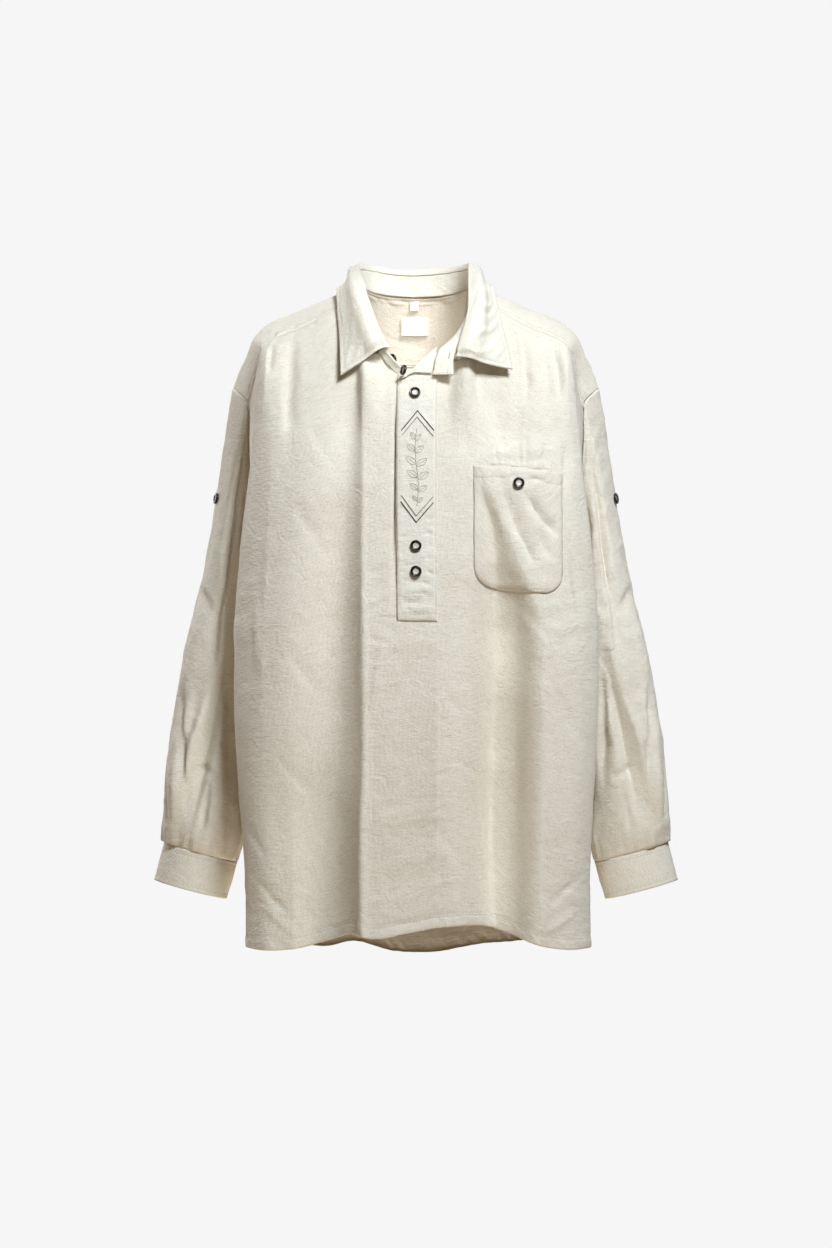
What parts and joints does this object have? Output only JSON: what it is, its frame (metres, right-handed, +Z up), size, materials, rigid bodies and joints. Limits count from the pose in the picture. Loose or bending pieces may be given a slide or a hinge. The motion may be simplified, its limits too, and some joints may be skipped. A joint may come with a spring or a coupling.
{
  "type": "overshirt",
  "caption": "Long-sleeved popover overshirt in natural linen with half placket, pointed collar, yoke and chest pocket, in its worn hollow form.",
  "frame": {"origin": "middle of the neck opening at the level of the shoulder line, where a wearer or a hanger holds the garment", "axes": "+Z up, -Y towards the front of the garment, +X towards the wearer's left"},
  "size_m": [0.6396, 0.2725, 0.8549],
  "materials": {
    "linen": "plain-weave linen, washed, slightly slubbed",
    "label_tape": "smooth woven tape",
    "dark_horn": "dark rim and pale dished middle, polished"
  },
  "bodies": {
    "root": {"front": "linen", "back": "linen", "yoke": "linen", "sleeve_left": "linen", "sleeve_right": "linen", "cuff_left": "linen", "cuff_right": "linen", "collar_stand": "linen", "collar_fall": "linen", "placket_over": "linen", "placket_under": "linen", "pocket": "linen", "label": "label_tape", "size_tab": "label_tape", "button_stand": "dark_horn", "button_placket_top": "dark_horn", "button_placket_1": "dark_horn", "button_placket_2": "dark_horn", "button_placket_3": "dark_horn", "button_pocket": "dark_horn", "button_sleeve_left": "dark_horn", "button_sleeve_right": "dark_horn", "button_cuff_left": "dark_horn", "button_cuff_right": "dark_horn"}
  },
  "joints": []
}
